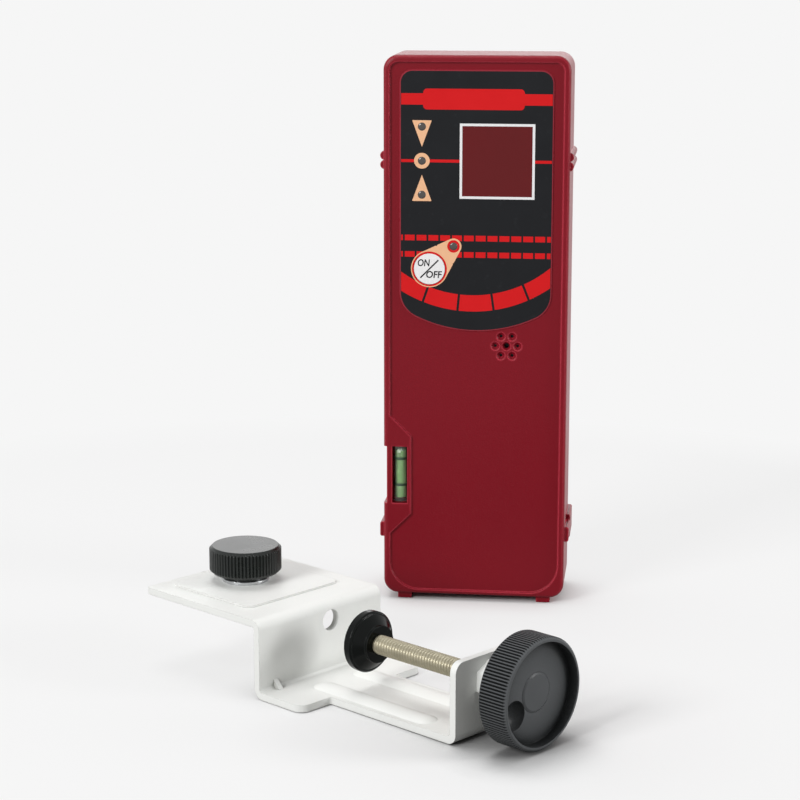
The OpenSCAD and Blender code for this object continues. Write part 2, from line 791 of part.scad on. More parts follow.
module sounder()
    color(black_part) at_receiver() difference() {
        rod_y(sounder_x, sounder_z, sounder_front, board_y, sounder_r);
        rod_y(sounder_x, sounder_z, 0, sounder_front + wall, sound_mid_r);
    }

module control_chip()
    color("#202024") at_receiver() block(chip_x - chip_side / 2, chip_x + chip_side / 2, board_y - chip_t,
        board_y, chip_z - chip_side / 2, chip_z + chip_side / 2);

module board_screws()
    color(steel) at_receiver() for (p = board_screw_at)
        cross_screw(p.x, p.y, board_back, board_screw_r, board_screw_l, board_screw_head_r,
            board_screw_head_h);

module case_screws()
    color(steel) at_receiver() for (p = case_screw_at)
        cross_screw(p.x, p.y, case_screw_seat, case_screw_r, case_screw_seat - part_line + case_screw_bite,
            case_screw_head_r, case_screw_head_h);

module level_vial()
    color("#cfe8d2", 0.5) at_receiver() translate([vial_x, vial_depth, vial_z0]) difference() {
        cylinder(r = vial_r, h = vial_l);
        translate([0, 0, vial_floor]) cylinder(r = vial_bore_r, h = vial_l);
    }

module vial_liquid()
    color("#5fa84a") at_receiver() translate([vial_x, vial_depth, vial_z0 + vial_floor])
        cylinder(r = vial_bore_r - seat_gap, h = vial_l - vial_floor - vial_plug_t);

module vial_plug()
    color("#dfe8df") at_receiver() translate([vial_x, vial_depth, vial_z1 - vial_plug_t])
        cylinder(r = vial_bore_r - seat_gap, h = vial_plug_t);

module battery()
    color("#38383c") at_receiver() translate([bay_x, battery_mid_y, bay_floor]) {
        linear_extrude(battery_h) rounded_span(battery_w, -battery_d / 2, battery_d / 2,
            battery_corner_r, battery_corner_r);
        translate([terminal_x, 0, battery_h]) cylinder(r = plus_r, h = terminal_h);
        translate([-terminal_x, 0, battery_h]) cylinder(r = minus_r, h = terminal_h, $fn = 6);
    }

module battery_snap()
    color("#1d1d1f") at_receiver() translate([bay_x, battery_mid_y, battery_top + seat_gap]) difference() {
        linear_extrude(snap_h) rounded_span(snap_w, -snap_d / 2, snap_d / 2,
            battery_corner_r, battery_corner_r);
        translate([terminal_x, 0, -over]) cylinder(r = plus_r + cutout_gap, h = terminal_h + over);
        translate([-terminal_x, 0, -over]) cylinder(r = minus_r + cutout_gap, h = terminal_h + over);
    }

module battery_leads()
    color("#a01818") at_receiver() for (s = [-1, 1]) let (x = bay_x + s * lead_x) {
        translate([x, battery_mid_y, snap_top]) cylinder(r = lead_r, h = lead_z - snap_top);
        translate([x, battery_mid_y, lead_z]) sphere(r = lead_r);
        rod_y(x, lead_z, board_back, battery_mid_y, lead_r);
    }

module battery_door()
    color(red_case) at_receiver() difference() {
        union() {
            block(bay_x - door_neck_half, bay_x + door_neck_half, case_d - door_t, case_d, hinge_z,
                door_shoulder + over);
            block(bay_x - door_half, bay_x + door_half, case_d - door_t, case_d, door_shoulder, door_top);
            translate([bay_x - door_neck_half, hinge_y, hinge_z]) rotate([0, 90, 0])
                cylinder(r = barrel_r, h = 2 * door_neck_half);
        }
        translate([bay_x - bay_half, hinge_y, hinge_z]) rotate([0, 90, 0])
            cylinder(r = hinge_pin_r + run_gap, h = 2 * bay_half);
    }

module door_hinge_pin()
    color(steel) at_receiver() translate([bay_x - bay_half - pin_reach, hinge_y, hinge_z])
        rotate([0, 90, 0]) cylinder(r = hinge_pin_r, h = 2 * (bay_half + pin_reach));

module thread_insert()
    color("#b08d3c") at_receiver() difference() {
        rod_y(0, insert_z, case_d - insert_l, case_d, insert_r);
        rod_y(0, insert_z, case_d - insert_l - over, case_d + over, thread_core_r);
    }

// Bracket: one bent sheet with flange, wall, base and end wall
module bend(x, z, sx, sz)
    translate([x, z]) intersection() {
        difference() {
            circle(r = bend_out);
            circle(r = bend_r);
        }
        scale([sx, sz]) square([bend_out, bend_out]);
    }

module bracket_profile() {
    translate([-flange_l, flange_under]) square([flange_l - bend_out, sheet_t]);
    bend(-bend_out, bracket_h - bend_out, 1, 1);
    translate([wall_back, bend_out]) square([sheet_t, bracket_h - 2 * bend_out]);
    bend(bend_r, bend_out, -1, -1);
    translate([bend_r, 0]) square([jaw_l - 2 * bend_r, sheet_t]);
    bend(jaw_l - bend_r, bend_out, 1, -1);
    translate([jaw_l, bend_out]) square([sheet_t, bracket_h - bend_out]);
}

module bracket_plan() {
    rounded_plan(-flange_l, -bend_out, bracket_w, flange_corner_r);
    translate([-2 * bend_out, -bracket_w / 2]) square([2 * bend_out + ear_r, bracket_w]);
    rounded_plan(0, ear_l, bracket_w, ear_r);
    translate([0, -base_w / 2]) square([end_out, base_w]);
    for (s = [-1, 1]) translate([ear_l, s * base_w / 2]) scale([1, s]) difference() {
        square([notch_r, notch_r]);
        translate([notch_r, notch_r]) circle(r = notch_r);
    }
}

module rounded_bar(x0, x1, y, z, r) {
    translate([x0, y, z]) rotate([0, 90, 0]) cylinder(r = r, h = x1 - x0);
    for (x = [x0, x1]) translate([x, y, z]) sphere(r = r);
}

module plateau(l, w, z0, z1)
    translate([0, 0, z0]) linear_extrude(z1 - z0)
        rounded_plan(plateau_x - l / 2, plateau_x + l / 2, w, plateau_r);

module bracket()
    color(white_coat) at_clamp() difference() {
        union() {
            intersection() {
                slab_y(-bracket_w / 2, bracket_w / 2) bracket_profile();
                linear_extrude(bracket_h) bracket_plan();
            }
            plateau(plateau_l, plateau_w, flange_under + plateau_h, plateau_z);
            for (s = [-1, 1]) {
                intersection() {
                    rounded_bar(bead_x0, bead_x1, s * bead_y, sheet_t + bead_h - bead_r, bead_r);
                    block(0, jaw_l, -bracket_w, bracket_w, sheet_t / 2, bracket_h);
                }
                translate([0, s * gusset_y, 0]) slab_y(-gusset_w / 2, gusset_w / 2)
                    polygon([[0, sheet_t], [gusset_l, sheet_t], [0, sheet_t + gusset_l]]);
            }
        }
        plateau(plateau_l - 2 * plateau_draw, plateau_w - 2 * plateau_draw, flange_under - over,
            flange_under + plateau_h);
        for (s = [-1, 1])
            rounded_bar(bead_x0, bead_x1, s * bead_y, bead_h - bead_r + bead_draw, bead_r - bead_draw);
        for (s = [-1, 1]) translate([0, s * base_w / 2, bracket_h]) rotate([0, 90, 0])
            translate([0, 0, jaw_l - over]) linear_extrude(sheet_t + 2 * over) scale([1, -s]) difference() {
                translate([-over, -over]) square([end_corner_r + over, end_corner_r + over]);
                translate([end_corner_r, end_corner_r]) circle(r = end_corner_r);
            }
        translate([-knob_reach, 0, flange_under - over])
            cylinder(r = stud_hole_r, h = sheet_t + 2 * over);
        translate([wall_back - over, hang_hole_y, hang_hole_z]) rotate([0, 90, 0])
            cylinder(r = hang_hole_r, h = sheet_t + 2 * over);
        translate([jaw_l - over, 0, screw_z]) rotate([0, 90, 0])
            cylinder(r = screw_hole_r, h = sheet_t + 2 * over);
    }

// Clamp screw and what turns or slides with it; drawn along +z, from the wall's jaw face
module screw_nut()
    color(white_coat) at_screw() translate([0, 0, end_out]) difference() {
        cylinder(r = nut_flats / sqrt(3), h = nut_t, $fn = 6);
        translate([0, 0, -over]) cylinder(r = screw_r + run_gap, h = nut_t + 2 * over);
    }

module pressure_pad() {
    cone_z = pad_disc_t + pad_cone_l;
    color(black_part) at_screw() translate([0, 0, jaw_open]) difference() {
        rotate_extrude() polygon([
            [0, 0], [pad_r - pad_rim_r, 0], [pad_r, pad_rim_r], [pad_r, pad_disc_t - pad_rim_r],
            [pad_r - pad_rim_r, pad_disc_t], [pad_r - pad_cone_lip, pad_disc_t], [pad_neck_r, cone_z],
            [pad_neck_r, pad_l], [0, pad_l]]);
        translate([0, 0, pad_wall - seat_gap]) cylinder(r = screw_r + run_gap, h = pad_l);
    }
}

module clamp_screw()
    color(zinc) at_screw() translate([0, 0, screw_x0]) cylinder(r = screw_r, h = screw_x1 - screw_x0);

module handwheel() {
    face = wheel_t - wheel_dish;
    dish_r = wheel_r - wheel_rim_w;
    color(black_part) at_screw() translate([0, 0, wheel_x0]) difference() {
        intersection() {
            ribbed(wheel_r, wheel_t, wheel_ribs);
            rotate_extrude() polygon([
                [0, 0], [wheel_r - wheel_edge, 0], [wheel_r + over, wheel_edge + over],
                [wheel_r + over, wheel_t - wheel_edge - over], [wheel_r - wheel_edge, wheel_t],
                [dish_r, wheel_t], [dish_r - wheel_dish_slope, face], [0, face]]);
        }
        translate([0, 0, -over]) difference() {
            cylinder(r = dish_r, h = wheel_back_dish + over);
            cylinder(r = wheel_hub_r, h = wheel_back_dish + over);
        }
        translate([0, 0, face - cap_sink]) cylinder(r = cap_r + seat_gap, h = wheel_dish + over);
        rotate([0, 0, dimple_angle]) translate([dimple_reach, 0, face + dimple_ball_r - dimple_depth])
            sphere(r = dimple_ball_r);
        translate([0, 0, -over]) cylinder(r = screw_r + seat_gap, h = screw_x1 - wheel_x0 + over);
    }
}

module wheel_cap()
    color("#242424") at_screw() translate([0, 0, wheel_x1 - wheel_dish - cap_sink])
        rotate_extrude() polygon([[0, 0], [cap_r, 0], [cap_r, cap_t - cap_sink / 2], [cap_r - cap_sink, cap_t],
            [0, cap_t]]);

// Mount knob, drawn upright over its stud's hole in the flange
module knob_grip()
    color(black_part) at_knob() difference() {
        union() {
            translate([0, 0, collar_z]) cylinder(r = collar_r, h = collar_h + over);
            translate([0, 0, grip_z]) intersection() {
                ribbed(knob_r, knob_h, knob_ribs);
                rotate_extrude() polygon([
                    [0, 0], [knob_r - knob_edge, 0], [knob_r + over, knob_edge + over],
                    [knob_r + over, knob_h - knob_edge - over], [knob_r - knob_edge, knob_h], [0, knob_h]]);
            }
        }
        translate([0, 0, collar_z - over]) cylinder(r = stud_r + seat_gap, h = stud_top - collar_z + over);
    }

module knob_stud()
    color(zinc) at_knob() difference() {
        translate([0, 0, stud_bottom]) cylinder(r = stud_r, h = stud_top - stud_bottom);
        translate([0, 0, ring_z - seat_gap]) difference() {
            cylinder(r = stud_r + over, h = ring_t + 2 * seat_gap);
            cylinder(r = stud_groove_r, h = ring_t + 2 * seat_gap);
        }
    }

module knob_washer()
    color(steel) at_knob() translate([0, 0, washer_z]) difference() {
        cylinder(r = washer_r, h = washer_t);
        translate([0, 0, -over]) cylinder(r = stud_r + cutout_gap, h = washer_t + 2 * over);
    }

module stud_ring()
    color(steel) at_knob() translate([0, 0, ring_z]) difference() {
        cylinder(r = ring_r, h = ring_t);
        translate([0, 0, -over]) cylinder(r = stud_groove_r + seat_gap, h = ring_t + 2 * over);
        block(0, 2 * ring_r, -ring_slot / 2, ring_slot / 2, -over, ring_t + over);
    }

front_shell();
rear_shell();
display_panel();
sensor_window();
indicator_lenses();
power_button();
circuit_board();
photodiode_array();
indicator_leds();
button_switch();
sounder();
control_chip();
board_screws();
case_screws();
level_vial();
vial_liquid();
vial_plug();
battery();
battery_snap();
battery_leads();
battery_door();
door_hinge_pin();
thread_insert();
bracket();
screw_nut();
pressure_pad();
clamp_screw();
handwheel();
wheel_cap();
knob_grip();
knob_stud();
knob_washer();
stud_ring();
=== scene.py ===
"""Looks of the laser receiver and its staff clamp.

Lengths are in millimetres, and in metres from the floor on.
"""
import math

import bmesh
import bpy
from mathutils import Matrix, Vector

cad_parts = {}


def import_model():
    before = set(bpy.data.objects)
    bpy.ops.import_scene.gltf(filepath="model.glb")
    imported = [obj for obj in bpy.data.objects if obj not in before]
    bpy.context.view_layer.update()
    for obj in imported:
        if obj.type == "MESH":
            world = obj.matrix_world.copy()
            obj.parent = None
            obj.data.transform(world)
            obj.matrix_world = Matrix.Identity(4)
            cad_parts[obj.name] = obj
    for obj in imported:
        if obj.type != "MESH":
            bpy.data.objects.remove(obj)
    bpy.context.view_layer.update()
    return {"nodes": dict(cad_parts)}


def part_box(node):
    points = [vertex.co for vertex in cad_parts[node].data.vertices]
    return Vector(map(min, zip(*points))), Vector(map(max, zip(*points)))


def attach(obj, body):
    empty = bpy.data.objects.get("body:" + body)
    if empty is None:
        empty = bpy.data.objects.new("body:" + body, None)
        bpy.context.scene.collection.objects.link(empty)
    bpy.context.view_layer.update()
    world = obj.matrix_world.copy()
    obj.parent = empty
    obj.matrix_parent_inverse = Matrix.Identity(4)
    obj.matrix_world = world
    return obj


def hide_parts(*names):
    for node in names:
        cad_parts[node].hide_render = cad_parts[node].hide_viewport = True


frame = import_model()
nodes = frame["nodes"]
MM = 0.001


def middle(node):
    """Middle of a CAD node's box, in millimetres."""
    low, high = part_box(node)
    return (low + high) / 2 / MM


def low_mm(node):
    """Lowest corner of a CAD node's box, in millimetres."""
    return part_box(node)[0] / MM


def high_mm(node):
    """Highest corner of a CAD node's box, in millimetres."""
    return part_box(node)[1] / MM


# Places read from the CAD model; those on the receiver's front count x from its middle, CASE_X.
# A lens's middle is LENS_RIM inside the sides of its node's box.
LENS_RIM = 2
CASE_X = middle("display_panel").x
PANEL_FRONT, PANEL_BACK = low_mm("display_panel").y, high_mm("display_panel").y
PANEL_LOW, PANEL_HIGH = low_mm("display_panel").z, high_mm("display_panel").z
PANEL_HALF = (high_mm("display_panel").x - low_mm("display_panel").x) / 2
WINDOW_X, WINDOW_Z = middle("sensor_window").x - CASE_X, middle("sensor_window").z
WINDOW_FRONT = low_mm("sensor_window").y
BUTTON_X, BUTTON_Z = middle("power_button").x - CASE_X, middle("power_button").z
BUTTON_FRONT = low_mm("power_button").y
LENS_X = low_mm("indicator_lenses").x + LENS_RIM - CASE_X
LENS_PITCH = high_mm("indicator_lenses").z - LENS_RIM - WINDOW_Z
POWER_X = high_mm("indicator_lenses").x - LENS_RIM - CASE_X
POWER_Z = low_mm("indicator_lenses").z + LENS_RIM
VIAL = middle("level_vial")
STUD = middle("knob_stud")


# Materials

def linear(srgb):
    """Colour of 0 to 255 numbers, as the shader takes it."""
    def one(c):
        c = c / 255
        return c / 12.92 if c <= 0.04045 else ((c + 0.055) / 1.055) ** 2.4
    return tuple(one(c) for c in srgb) + (1.0,)


class Tree:
    """Short hand for the node tree of a material or of the world."""

    def __init__(self, owner):
        owner.use_nodes = True
        self.tree = owner.node_tree
        self.tree.nodes.clear()

    def link(self, output, node, key):
        """Wire an output to a node's input."""
        self.tree.links.new(output, node.inputs[key])

    def add(self, kind, inputs=None, **settings):
        """New node; an input is a plain value or another node's output."""
        node = self.tree.nodes.new(kind)
        for key, value in settings.items():
            setattr(node, key, value)
        for key, value in (inputs or {}).items():
            if isinstance(value, bpy.types.NodeSocket):
                self.link(value, node, key)
            else:
                node.inputs[key].default_value = value
        return node

    def noise(self, place, size_mm, detail):
        """Noise from 0 to 1 with features of about a size."""
        inputs = {"Vector": place, "Scale": 1 / (size_mm * MM), "Detail": detail}
        return self.add("ShaderNodeTexNoise", inputs).outputs["Fac"]

    def mix(self, share, first, second):
        """Colour between two; the node's colour sockets go by number."""
        inputs = {"Factor": share, 6: first, 7: second}
        return self.add("ShaderNodeMix", inputs, data_type="RGBA").outputs[2]

    def ramp(self, value, low, high, at_low, at_high):
        """Value carried from the range low to high onto the range at_low to at_high."""
        inputs = dict(enumerate((value, low, high, at_low, at_high)))
        return self.add("ShaderNodeMapRange", inputs).outputs["Result"]

    def calc(self, operation, first, second, clamp=False):
        """One step of arithmetic."""
        node = self.add("ShaderNodeMath", {0: first, 1: second}, operation=operation, use_clamp=clamp)
        return node.outputs["Value"]

    def compare(self, operation, *vectors):
        """Number that one or two vectors give, such as a length or a dot product."""
        node = self.add("ShaderNodeVectorMath", dict(enumerate(vectors)), operation=operation)
        return node.outputs["Value"]


# Shared by all finishes: noise detail, the cosines by which an edge's normal has turned, the size and the
# range of dust specks, the strength of painted shade in corners, and the range of noise that drives the
# gloss
BLOTCH_DETAIL, GRAIN_DETAIL = 4.0, 3.0
EDGE_SAMPLES, EDGE_FLAT, EDGE_TURNED = 4, 0.985, 0.9
DUST_MM, DUST_DETAIL, DUST_FROM, DUST_TO, DUST_MOST = 2.2, 6.0, 0.62, 0.82, 0.35
PAINTED_SHADE_SAMPLES, PAINTED_SHADE_MOST = 6, 0.9
GLOSS_FROM, GLOSS_TO, GLOSS_LEAST = 0.25, 0.75, 0.02


def finish(name, colour, rough, sockets=None, blotch=0.06, blotch_mm=9.0, grain=0.02, grain_mm=0.5,
           rough_var=0.07, edge=None, edge_mm=0.25, edge_gain=1.0, dust=None, painted_shade=None, painted_shade_mm=10.0,
           painted_shade_from=0.2, painted_shade_to=0.7, brushed=None):
    """Moulded, coated or machined surface: colour drifts, the gloss wanders and a fine grain lifts it.

    sockets are constants of the shader itself, blotch is the share by which the colour drifts, grain the
    depth of the bump in millimetres, edge the colour on rounded edges over edge_mm, which is wear on most
    parts, a painted highlight on the red case and painted shade on the wheel's ribs, dust the colour of a
    thin settled film, and the corner colour is painted shade in the part's own corners and recesses, which
    fades out where the openness within its reach in millimetres goes from the lower to the upper bound.
    brushed is the scale of fine lines along x, y and z.
    """
    material = bpy.data.materials.new(name)
    tree = Tree(material)
    place = tree.add("ShaderNodeTexCoord").outputs["Object"]
    drift = tree.noise(place, blotch_mm, BLOTCH_DETAIL)
    base = linear(colour)[:3]
    dark = tuple(c * (1 - blotch) for c in base) + (1.0,)
    pale = tuple(min(1.0, c * (1 + blotch)) for c in base) + (1.0,)
    tint = tree.mix(drift, dark, pale)
    where = place
    if brushed:
        where = tree.add("ShaderNodeMapping", {"Vector": place, "Scale": brushed}).outputs["Vector"]
    fine = tree.noise(where, grain_mm, GRAIN_DETAIL)
    bump = tree.add("ShaderNodeBump", {"Height": fine, "Distance": grain * MM, "Strength": 1.0})
    # Edge colour: wear on most parts, a painted highlight on the red case and painted shade on the wheel's
    # ribs
    if edge:
        bevel = tree.add("ShaderNodeBevel", {"Radius": edge_mm * MM}, samples=EDGE_SAMPLES)
        rounded = bevel.outputs["Normal"]
        flat = tree.add("ShaderNodeNewGeometry").outputs["Normal"]
        turned = tree.compare("DOT_PRODUCT", rounded, flat)
        edge_wear_and_painted_light = tree.ramp(turned, EDGE_FLAT, EDGE_TURNED, 0.0, 1.0)
        patch = tree.calc("MULTIPLY", edge_wear_and_painted_light, drift)
        patch = tree.calc("MULTIPLY", patch, edge_gain, clamp=True)
        tint = tree.mix(patch, tint, linear(edge))
        tree.link(rounded, bump, "Normal")
    if dust:
        specks = tree.noise(place, DUST_MM, DUST_DETAIL)
        thin = tree.ramp(specks, DUST_FROM, DUST_TO, 0.0, DUST_MOST)
        tint = tree.mix(thin, tint, linear(dust))
    # Painted shade: the colour darkens in the part's own corners and recesses, where shade falls
    if painted_shade:
        bare = tree.add("ShaderNodeAmbientOcclusion", {"Distance": painted_shade_mm * MM},
                        samples=PAINTED_SHADE_SAMPLES, only_local=True)
        painted_shade_share = tree.ramp(bare.outputs["AO"], painted_shade_from, painted_shade_to, PAINTED_SHADE_MOST, 0.0)
        tint = tree.mix(painted_shade_share, tint, linear(painted_shade))
    gloss = tree.ramp(drift, GLOSS_FROM, GLOSS_TO,
                      max(GLOSS_LEAST, rough - rough_var), min(1.0, rough + rough_var))
    inputs = {"Base Color": tint, "Roughness": gloss, "Normal": bump.outputs["Normal"], **(sockets or {})}
    shader = tree.add("ShaderNodeBsdfPrincipled", inputs)
    tree.add("ShaderNodeOutputMaterial", {"Surface": shader.outputs["BSDF"]})
    return material


DULL = {"Specular IOR Level": 0.14}
INK = {"grain": 0.004, "grain_mm": 0.25}
# The case's pink edge colour is a painted highlight on its rims and rounded edges
RED = finish("case_red", (129, 12, 29), 0.34, {"Specular IOR Level": 0.2}, blotch=0.05, blotch_mm=24,
             grain=0.05, grain_mm=0.5, rough_var=0.02, edge=(212, 66, 84), edge_mm=0.65, edge_gain=2.2)
PANEL = finish("panel_black", (27, 28, 31), 0.36, DULL, blotch=0.1, grain=0.006, grain_mm=0.3,
               dust=(48, 50, 53))
PRINT_RED = finish("print_red", (222, 28, 32), 0.42, DULL, blotch=0.05, **INK)
# The lip's red, lighter than the case, is a painted highlight along the panel's edge
PANEL_LIP = finish("panel_lip", (158, 44, 58), 0.3, {"Specular IOR Level": 0.3}, blotch=0.08, **INK)
PRINT_WHITE = finish("print_white", (246, 246, 248), 0.42, blotch=0.03, **INK)
PRINT_TAN = finish("print_tan", (248, 192, 148), 0.42, blotch=0.05, **INK)
PRINT_BLACK = finish("print_black", (26, 26, 28), 0.45, DULL, blotch=0.08, **INK)
FILTER = finish("filter_red", (104, 28, 31), 0.2, DULL, blotch=0.05, blotch_mm=14, grain=0.002,
                grain_mm=0.4, rough_var=0.04)
LENS = finish("lens_smoke", (66, 60, 56), 0.18, {"Coat Weight": 0.5, "Coat Roughness": 0.05}, grain=0.002)
KEY = finish("key_white", (249, 248, 249), 0.38, blotch=0.03, grain=0.006, grain_mm=0.35,
             edge=(205, 203, 198))
BOARD = finish("board_green", (30, 92, 52), 0.45, blotch=0.12, blotch_mm=3, grain=0.02, grain_mm=0.6)
COMPONENT = finish("component_black", (34, 34, 37), 0.5, grain=0.02, grain_mm=0.3, edge=(70, 70, 74))
LED = finish("led_red", (176, 30, 26), 0.2, {"Transmission Weight": 0.3}, grain=0.004)
STEEL = finish("bright_steel", (206, 208, 210), 0.28, {"Metallic": 1.0}, grain=0.006, grain_mm=0.3,
               edge=(205, 206, 208), brushed=(1.0, 1.0, 0.12))
VIAL_CLEAR = finish("vial_clear", (240, 247, 241), 0.04, {"Transmission Weight": 0.93, "IOR": 1.06},
                    grain=0.0005, rough_var=0.02)
# The liquid's weak emission is a painted glow for light that passes through it
VIAL_GREEN = finish("vial_green", (114, 156, 88), 0.2,
                    {"Emission Color": linear((118, 156, 98)), "Emission Strength": 0.1},
                    blotch=0.1, blotch_mm=6, grain=0.001, rough_var=0.04)
VIAL_RING = finish("vial_ring", (42, 74, 50), 0.4, grain=0.002)
# The bubble is a real part; its pale colour is a painted highlight
BUBBLE = finish("vial_bubble", (216, 232, 208), 0.08, {"Coat Weight": 0.6}, grain=0.0005, rough_var=0.03)
CAN = finish("battery_can", (58, 58, 64), 0.35, {"Metallic": 0.4}, grain=0.01, edge=(120, 120, 124))
LEAD = finish("lead_red", (140, 24, 24), 0.5, grain=0.01)
BRASS = finish("turned_brass", (184, 146, 74), 0.28, {"Metallic": 1.0}, grain=0.008, grain_mm=0.2,
               brushed=(1.0, 0.1, 1.0))
# The white coat's darker corner colour is painted shade in its creases and bends
COAT = finish("white_coat", (243, 244, 241), 0.46, {"Specular IOR Level": 0.12}, blotch=0.03, blotch_mm=14,
              grain=0.02, grain_mm=0.9, edge=(216, 217, 214), dust=(224, 225, 222),
              painted_shade=(120, 121, 115), painted_shade_mm=12, painted_shade_to=0.6)
ZINC = finish("zinc_yellow", (170, 163, 141), 0.36, {"Metallic": 0.7}, blotch=0.12, blotch_mm=3,
              grain=0.01, grain_mm=0.25, edge=(226, 220, 200))
KNOB = finish("knob_black", (22, 26, 24), 0.28, {"Specular IOR Level": 0.35}, blotch=0.1, grain=0.004,
              grain_mm=0.4, rough_var=0.02, edge=(58, 62, 60))
PAD = finish("pad_black", (6, 9, 8), 0.16, DULL, blotch=0.1, grain=0.006, grain_mm=0.5, edge=(58, 62, 60))
# The wheel's near-black corner colour is painted shade in the rim's inner wall, the dimple and the rib
# grooves, and its darker edge colour is painted shade on the ribs
WHEEL = finish("wheel_black", (88, 90, 92), 0.36, {"Specular IOR Level": 0.12}, blotch=0.1, grain=0.01,
               grain_mm=0.4, edge=(60, 62, 63), painted_shade=(4, 6, 6), painted_shade_mm=8, painted_shade_from=0.66,
               painted_shade_to=0.97)

LOOKS = {
    "front_shell": RED, "rear_shell": RED, "battery_door": RED, "display_panel": PANEL,
    "sensor_window": FILTER, "indicator_lenses": LENS, "power_button": KEY, "circuit_board": BOARD,
    "photodiode_array": COMPONENT, "indicator_leds": LED, "button_switch": COMPONENT,
    "sounder": COMPONENT, "control_chip": COMPONENT, "board_screws": STEEL, "case_screws": STEEL,
    "level_vial": VIAL_CLEAR, "vial_liquid": VIAL_GREEN, "vial_plug": VIAL_CLEAR, "battery": CAN,
    "battery_snap": COMPONENT, "battery_leads": LEAD, "door_hinge_pin": STEEL, "thread_insert": BRASS,
    "bracket": COAT, "screw_nut": COAT, "pressure_pad": PAD, "clamp_screw": ZINC, "handwheel": WHEEL,
    "wheel_cap": WHEEL, "knob_grip": KNOB, "knob_stud": ZINC, "knob_washer": STEEL, "stud_ring": STEEL}
for node_name, look in LOOKS.items():
    nodes[node_name].data.materials.clear()
    nodes[node_name].data.materials.append(look)


# Making pieces

def piece(name, mesh, material, body, smooth=False):
    """New piece from a bmesh whose points are in millimetres."""
    bmesh.ops.recalc_face_normals(mesh, faces=mesh.faces)
    bmesh.ops.scale(mesh, vec=(MM, MM, MM), verts=mesh.verts)
    data = bpy.data.meshes.new(name)
    mesh.to_mesh(data)
    mesh.free()
    data.materials.append(material)
    if smooth:
        data.shade_smooth()
    thing = bpy.data.objects.new(name, data)
    bpy.context.scene.collection.objects.link(thing)
    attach(thing, body)
    return thing


def front_row(mesh, loop, y):
    """Points of an (x, z) loop on the receiver's front, at depth y."""
    return [mesh.verts.new((CASE_X + x, y, z)) for x, z in loop]


def bridge(mesh, rows, closed=False):
    """Faces between neighbouring rows of points; a closed set also joins the last row to the first."""
    following = rows[1:] + rows[:1] if closed else rows[1:]
    for a, b in zip(rows, following):
        for i in range(len(a)):
            j = (i + 1) % len(a)
            mesh.faces.new((a[i], a[j], b[j], b[i]))


def add_plate(mesh, loop, front, back):
    """Flat plate that faces the front."""
    rows = [front_row(mesh, loop, y) for y in (front, back)]
    mesh.faces.new(rows[0])
    mesh.faces.new(list(reversed(rows[1])))
    bridge(mesh, rows)


def add_frame(mesh, outer, inner, front, back):
    """Flat frame between two loops of the same length."""
    corners = ((outer, front), (inner, front), (inner, back), (outer, back))
    bridge(mesh, [front_row(mesh, loop, y) for loop, y in corners], closed=True)


def arc(x, z, r, start, end, steps):
    """Points on a circle, angles in degrees from +x towards +z."""
    angles = [math.radians(start + (end - start) * i / steps) for i in range(steps + 1)]
    return [(x + r * math.cos(a), z + r * math.sin(a)) for a in angles]


def circle(x, z, r, steps):
    """Points on a whole circle."""
    return arc(x, z, r, 0, 360 - 360 / steps, steps - 1)


def square(x, z, half_x, half_z):
    """Corners of an upright rectangle."""
    signs = ((-1, -1), (1, -1), (1, 1), (-1, 1))
    return [(x + a * half_x, z + b * half_z) for a, b in signs]


def bar(start, end, z, half):
    """Upright rectangle from one x to another."""
    return square((start + end) / 2, z, (end - start) / 2, half)


# Prints lie on the panel, a little short of its sides
PRINT_FRONT, PRINT_BACK = PANEL_FRONT - 0.04, PANEL_FRONT + 0.02
SIDE = PANEL_HALF - 0.1


def print_piece(name, loops, material, front=PRINT_FRONT, back=PRINT_BACK, body="receiver"):
    """Printed mark of one or more flat loops."""
    mesh = bmesh.new()
    for loop in loops:
        add_plate(mesh, loop, front, back)
    piece(name, mesh, material, body)


HOLE_STEPS, PARALLEL, SLACK = 96, 1e-12, 1e-9


def holed(name, outer, x, z, r, material, front=PRINT_FRONT):
    """Printed mark with a round hole: the outer loop is taken in the directions of the hole's points."""
    inner = circle(x, z, r, HOLE_STEPS)
    ring = []
    for hole_x, hole_z in inner:
        way_x, way_z = (hole_x - x) / r, (hole_z - z) / r
        reach = None
        for (ax, az), (bx, bz) in zip(outer, outer[1:] + outer[:1]):
            edge_x, edge_z = bx - ax, bz - az
            det = way_x * -edge_z + way_z * edge_x
            if abs(det) < PARALLEL:
                continue
            out = ((ax - x) * -edge_z + (az - z) * edge_x) / det
            along = (way_x * (az - z) - way_z * (ax - x)) / det
            on_edge = -SLACK <= along <= 1 + SLACK
            if out > 0 and on_edge and (reach is None or out > reach):
                reach = out
        ring.append((x + way_x * reach, z + way_z * reach))
    mesh = bmesh.new()
    add_frame(mesh, ring, inner, front, PRINT_BACK)
    piece(name, mesh, material, "receiver")


# Red band across the panel's top, thicker in the middle, where it is left bare
BAND_Z, BAND_HALF, THICK_HALF = 155.3, 1.69, 3.1
THICK_LEFT, THICK_RIGHT, THICK_CUT, CUT_STEPS = -16.0, 14.3, 1.2, 6
cut_z = BAND_Z - THICK_HALF + THICK_CUT
band = [(-SIDE, BAND_Z - BAND_HALF), (THICK_LEFT, BAND_Z - BAND_HALF)]
band += arc(THICK_LEFT + THICK_CUT, cut_z, THICK_CUT, 180, 270, CUT_STEPS)
band += arc(THICK_RIGHT - THICK_CUT, cut_z, THICK_CUT, 270, 360, CUT_STEPS)
band += [(THICK_RIGHT, BAND_Z - BAND_HALF), (SIDE, BAND_Z - BAND_HALF)]
band += [(x, 2 * BAND_Z - z) for x, z in reversed(band)]
print_piece("print_band", [band], PRINT_RED)

